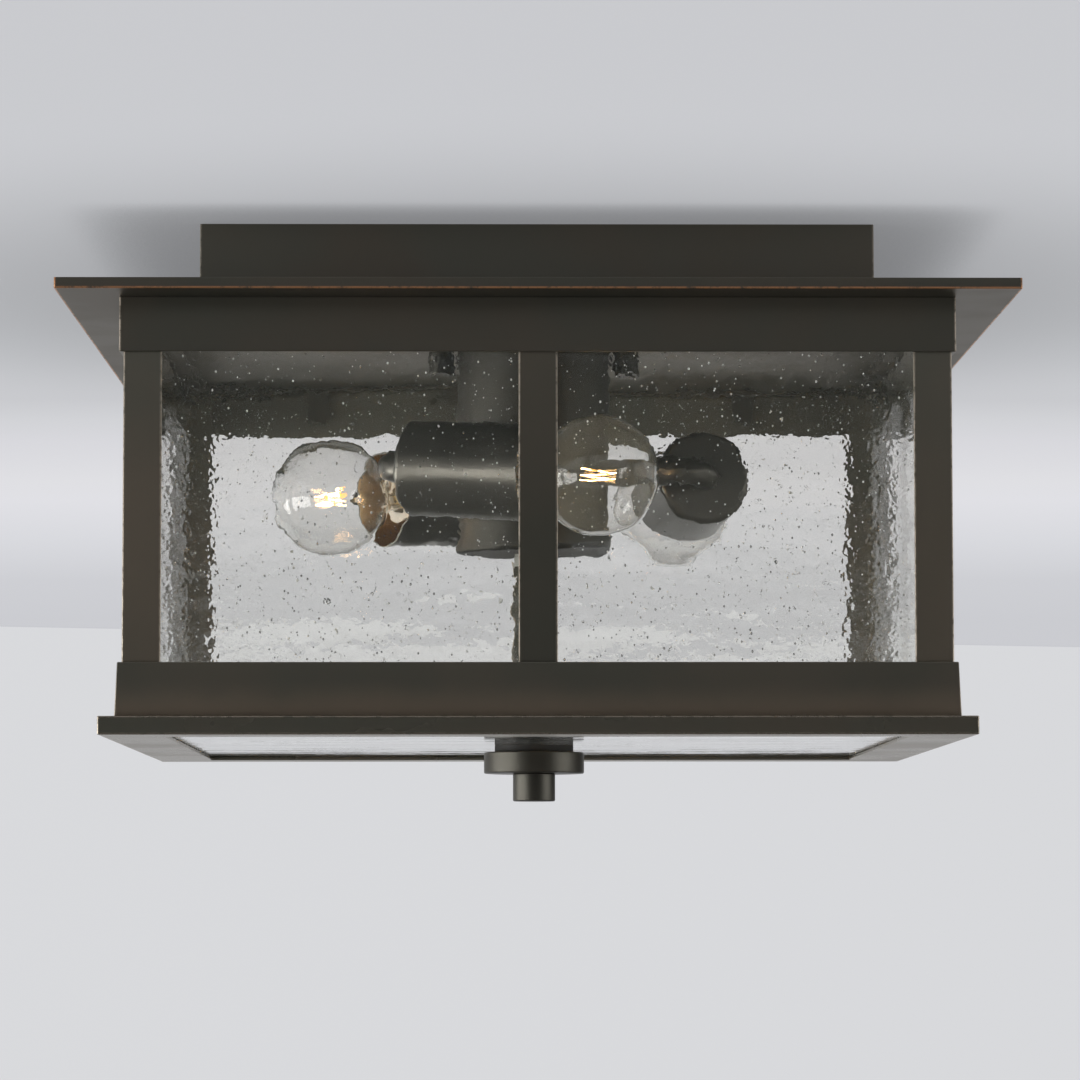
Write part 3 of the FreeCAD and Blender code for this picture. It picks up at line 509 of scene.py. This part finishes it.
def add_seeds(mesh, width, height, thickness, count, chance, hole):
    """Air seeds inside a pane, drawn out a little along Y. Most are small, and some are opaque painted
    glints.
    """
    ball = bmesh.new()
    bmesh.ops.create_icosphere(ball, subdivisions=1, radius=1.0)
    corners = [vert.co.copy() for vert in ball.verts]
    sides = [[vert.index for vert in face.verts] for face in ball.faces]
    ball.free()
    for _ in range(count):
        size = SEED_SIZES[0] + (SEED_SIZES[1] - SEED_SIZES[0]) * chance.random() ** SMALL_SEEDS
        deep = thickness / 2 - size - RIPPLE_HEIGHT * SKIN_FREE
        place = Vector(((chance.random() - 0.5) * width * SEEDED_WIDTH,
                        (chance.random() - 0.5) * height * SEEDED_HEIGHT,
                        (chance.random() * 2 - 1) * deep))
        if hole and place.xy.length < hole * HOLE_FREE:
            continue
        tall = 1.0 + chance.random() * SEED_STRETCH
        glint = int(chance.random() < GLINT_SEED_SHARE)
        verts = [mesh.verts.new(place + Vector((c.x, c.y * tall, c.z)) * size) for c in corners]
        for side in sides:
            mesh.faces.new([verts[n] for n in reversed(side)]).material_index = glint


def cut_hole(slab, hole, step):
    """A round hole in the middle of a flat grid."""
    cut = [face for face in slab.faces if face.calc_center_median().length < hole + step * HOLE_CUT]
    bmesh.ops.delete(slab, geom=cut, context="FACES")
    rim = [edge for edge in slab.edges
           if edge.is_boundary and edge.verts[0].co.length < hole * HOLE_FREE]
    ring = bmesh.ops.create_circle(slab, segments=HOLE_CORNERS, radius=hole)["verts"]
    rim += list({edge for vert in ring for edge in vert.link_edges})
    bmesh.ops.bridge_loops(slab, edges=rim)


def pane_mesh(width, height, thickness, seeds, seed, step=GRID_STEP, hole=0.0):
    """A wavy slab in X and Y with air seeds in it, its middle plane at Z 0."""
    mesh = bmesh.new()
    add_seeds(mesh, width, height, thickness, seeds, random.Random(seed), hole)
    slab = bmesh.new()
    bmesh.ops.create_grid(slab, x_segments=round(width / step), y_segments=round(height / step),
                          size=0.5, matrix=Matrix.Diagonal((width, height, 1.0, 1.0)))
    if hole:
        cut_hole(slab, hole, step)
    back = bmesh.ops.extrude_face_region(slab, geom=slab.faces[:])["geom"]
    front = {vert for vert in slab.verts} - {part for part in back if isinstance(part, bmesh.types.BMVert)}
    for vert in slab.verts:
        side = -1 if vert in front else 1
        vert.co.z = side * (thickness / 2 + waves(vert.co, side) - RIPPLE_HEIGHT / 2)
    bmesh.ops.recalc_face_normals(slab, faces=slab.faces)
    joined = bpy.data.meshes.new("slab")
    slab.to_mesh(joined)
    slab.free()
    mesh.from_mesh(joined)
    bpy.data.meshes.remove(joined)
    return mesh


def show_pane(name, node, body, turn, mesh):
    bmesh.ops.transform(mesh, matrix=turn, verts=mesh.verts)
    piece = show(mesh, name, seeded, body, node)
    # The second material, for the seeds painted as glints.
    piece.data.materials.append(glint_seed)


FIRST_SIDE_SEED, BOTTOM_SEED = 11, 29
low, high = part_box("side_pane_front")
size, middle = high - low, (low + high) / 2
upright = Matrix.Translation(middle) @ Matrix.Rotation(math.pi / 2, 4, "X")
for quarter, side in enumerate(("front", "right", "back", "left")):
    mesh = pane_mesh(size.x, size.z, size.y, SEEDS_IN_SIDE, FIRST_SIDE_SEED + quarter)
    show_pane("Side_pane_" + side, "side_pane_" + side, "cage",
              Matrix.Rotation(math.pi / 2 * quarter, 4, "Z") @ upright, mesh)

low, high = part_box("bottom_glass")
size, middle = high - low, (low + high) / 2
mesh = pane_mesh(size.x, size.y, size.z, SEEDS_IN_BOTTOM, BOTTOM_SEED, BOTTOM_GRID_STEP, BOTTOM_HOLE)
show_pane("Bottom_pane", "bottom_glass", "bottom_tray", Matrix.Translation(middle), mesh)


# ---- Hub, arms and bulb cups ----
# A steel drum with a flat cap, three bent tubes that leave it like a pinwheel, and a turned cup
# on the end of each, all painted bronze. Inside, the cups are a bright metal painted warm and
# light: painted light for the amber glow of the bulbs there. The thumb nuts and the clips that
# hold the side panes have the same paint.

LAMPS = (1, 2, 3)
FIRST_ARM = -23
ARM_TURNS = [Matrix.Rotation(math.radians(FIRST_ARM + 120 * n), 3, "Z") for n in range(3)]
# The middle of a cup's closed end and the way from there to its mouth, before its arm's turn
CUP_FOOT = Vector((-0.0267577, -0.0708, -0.0918521))
CUP_WAY = Vector((0.9976, 0.0, -0.0698))
CUP_LINES = [(turn @ CUP_FOOT, turn @ CUP_WAY) for turn in ARM_TURNS]
FACES_AXIS = -0.003
CUP_FLOOR, FACES_MOUTH = (0.0005, 0.003), 0.9
EVEN_SCALE, EVEN_DEPTH, EVEN_STRENGTH = 300.0, 0.0002, 0.15
EVEN_RANGE, EVEN_SHADE, EVEN_ROUGH = (0.3, 0.7), 0.9, 0.15
TURNED = {"scale": 30.0, "depth": 0.00001}
LINING = {"scale": 90.0, "depth": 0.00002}


def plain(name, colour, roughness, metallic=0.0, scale=EVEN_SCALE, depth=EVEN_DEPTH):
    """An even finish with faint darker and smoother patches."""
    material, start = new_finish(name)
    patches = noise_of(start.place(), scale, 3.0)
    bump = start.node("ShaderNodeBump", {}, {
        "Strength": EVEN_STRENGTH, "Distance": depth, "Height": patches})
    start.finish(start.node("ShaderNodeBsdfPrincipled", {}, {
        "Base Color": patches.fade(*EVEN_RANGE).blend(toned(colour, EVEN_SHADE), colour),
        "Roughness": patches.fade(0.0, 1.0, roughness * (1 - EVEN_ROUGH), roughness * (1 + EVEN_ROUGH)),
        "Metallic": metallic, "Normal": bump}))
    return material


def give(material, *names):
    """Put a material on CAD nodes that keep their own mesh."""
    for name in names:
        nodes[name].data.materials.clear()
        nodes[name].data.materials.append(material)


def line_cup(cup, material, foot, way):
    """Give a cup's inner wall and floor their own material. Way runs from its foot to its mouth."""
    cup.materials.append(material)
    for face in cup.polygons:
        out = face.center - foot
        along = out.dot(way)
        inner_wall = (out - way * along).dot(face.normal) < FACES_AXIS
        floor = CUP_FLOOR[0] < along < CUP_FLOOR[1] and face.normal.dot(way) > FACES_MOUTH
        if inner_wall or floor:
            face.material_index = 1


# The drum, cap and thumb nuts take a darker copy of the bronze: painted shade for the dark middle of the
# lantern.
give(plain("Hub_bronze_shaded", linear(72, 70, 64), roughness=0.5, metallic=0.7, **TURNED),
     "hub_drum", "hub_cap", "thumb_nuts")
give(plain("Turned_bronze", linear(112, 109, 102), roughness=0.31, metallic=0.85, **TURNED),
     "pane_clips", *["arm_%d" % n for n in LAMPS], *["socket_cup_%d" % n for n in LAMPS])
# Painted bulb light: the cups' inner walls and floors are warm and light for the amber glow the filaments
# cast there.
bulb_lit_lining = plain("Cup_lining_bulb_lit", linear(236, 206, 162), roughness=0.22, metallic=0.9, **LINING)
for number, (foot, way) in zip(LAMPS, CUP_LINES):
    line_cup(nodes["socket_cup_%d" % number].data, bulb_lit_lining, foot, way)


# ---- Fixings: bracket, studs, centre rod, nuts and clips ----
# Pressed, turned and threaded steel, zinc plated and left unpainted. Most of it is hidden in
# the canopy, the hub, the cups and the tray. The ground screw is green, as ground screws are.

give(plain("Zinc_plate", linear(168, 168, 160), roughness=0.35, metallic=1.0),
     "ceiling_bracket", "mounting_studs", "stud_nuts", "centre_rod", "rod_top_nut", "hub_nut",
     "arm_nuts", "cup_nuts", "glass_clips")
give(plain("Ground_green", linear(58, 122, 72), roughness=0.4, metallic=0.6), "ground_screw")


# ---- Lamp holders ----
# A pale moulded body in each cup, with a pressed brass screw shell and a sprung brass contact.
# The bases of the bulbs that screw into them are brass as well.

give(plain("Holder_phenolic", linear(228, 222, 208), roughness=0.45),
     *["socket_holder_%d" % n for n in LAMPS])
give(plain("Brass", linear(214, 176, 104), roughness=0.3, metallic=1.0),
     "screw_shells", "socket_contacts", *["bulb_%d_base" % n for n in LAMPS])


# ---- Bulbs and their filaments ----
# Clear blown globes on candelabra bases, lit. In each, a fine tungsten wire is wound into a
# coil, which zigzags four times across the globe's middle and is hottest in places.

FILAMENT_STRENGTH = 70.0
DIM_WIRE, HOT_WIRE = (0.037, 0.017, 0.0034, 1.0), (1.0, 0.60, 0.24, 1.0)
HEAT_SCALE, HEAT_RANGE = 210.0, (0.38, 0.55)
GLOBE_ALONG = 0.085
CLEAR = (1.0, 1.0, 1.0, 1.0)
BULB_SKIN_SCALE, BULB_SKIN_DEPTH = 60.0, 0.05
COIL_HALF, COIL_SPREAD, COIL_RUNS = 0.008, 0.006, 4
COIL_RADIUS, COIL_PITCH, COIL_WIRE = 0.00026, 0.0005, 0.00018
COIL_STEPS, WIRE_CORNERS = 6, 3


def hot_wire(name):
    """Glowing wire, brighter where it is hotter."""
    material, start = new_finish(name)
    heat = noise_of(start.place(), HEAT_SCALE, 1.0).fade(*HEAT_RANGE)
    start.finish(start.node("ShaderNodeEmission", {}, {
        "Color": heat.blend(DIM_WIRE, HOT_WIRE), "Strength": FILAMENT_STRENGTH}))
    return material


def wound_wire(mesh, start, end):
    """A fine wire wound round the straight line from start to end."""
    way = (end - start).normalized()
    out = way.orthogonal().normalized()
    steps = round((end - start).length / COIL_PITCH * COIL_STEPS)
    corners = []
    for n in range(WIRE_CORNERS):
        turn = math.tau * n / WIRE_CORNERS
        section = (out * math.cos(turn) + way * math.sin(turn)) * COIL_WIRE
        corners.append(mesh.verts.new(start + out * COIL_RADIUS + section))
    section_edges = [mesh.edges.new((corners[n - 1], corners[n])) for n in range(WIRE_CORNERS)]
    bmesh.ops.spin(mesh, geom=corners + section_edges, cent=start, axis=way,
                   dvec=(end - start) / steps, angle=math.tau * steps / COIL_STEPS, steps=steps)


def zigzag_coil(centre, way, up):
    """The wire of one bulb, in runs to and fro along way that step down from up."""
    coil = bmesh.new()
    bends = [centre + way * (COIL_HALF if n % 2 else -COIL_HALF)
             + up * (COIL_SPREAD / 2 - n * COIL_SPREAD / COIL_RUNS) for n in range(COIL_RUNS + 1)]
    for first, second in zip(bends, bends[1:]):
        wound_wire(coil, first, second)
    bmesh.ops.recalc_face_normals(coil, faces=coil.faces)
    return coil


hot = hot_wire("Hot_filament")
bulb_glass = clear_glass("Bulb_glass", CLEAR, BULB_SKIN_SCALE, BULB_SKIN_DEPTH)
for number, turn, (foot, way) in zip(LAMPS, ARM_TURNS, CUP_LINES):
    give(bulb_glass, "bulb_%d_globe" % number, "bulb_%d_stem" % number)
    up = turn @ Vector((-CUP_WAY.z, 0.0, CUP_WAY.x))
    show(zigzag_coil(foot + way * GLOBE_ALONG, way, up), "Filament_%d" % number, hot,
         "bulb_%d" % number, "bulb_%d_filament" % number)


# ---- Seals and finial ----
# A foam strip seals the tray to the cage, and a rubber gasket lies between the bottom glass and
# the finial. The finial's washer and knob are turned steel, painted like the sheet.

give(plain("Seal_foam", linear(60, 58, 54), roughness=0.9), "tray_seal")
give(plain("Gasket_rubber", linear(46, 45, 42), roughness=0.7), "finial_gasket")
give(plain("Finial_bronze", linear(84, 82, 75), roughness=0.44, metallic=0.8, **TURNED),
     "finial_washer", "finial_knob")
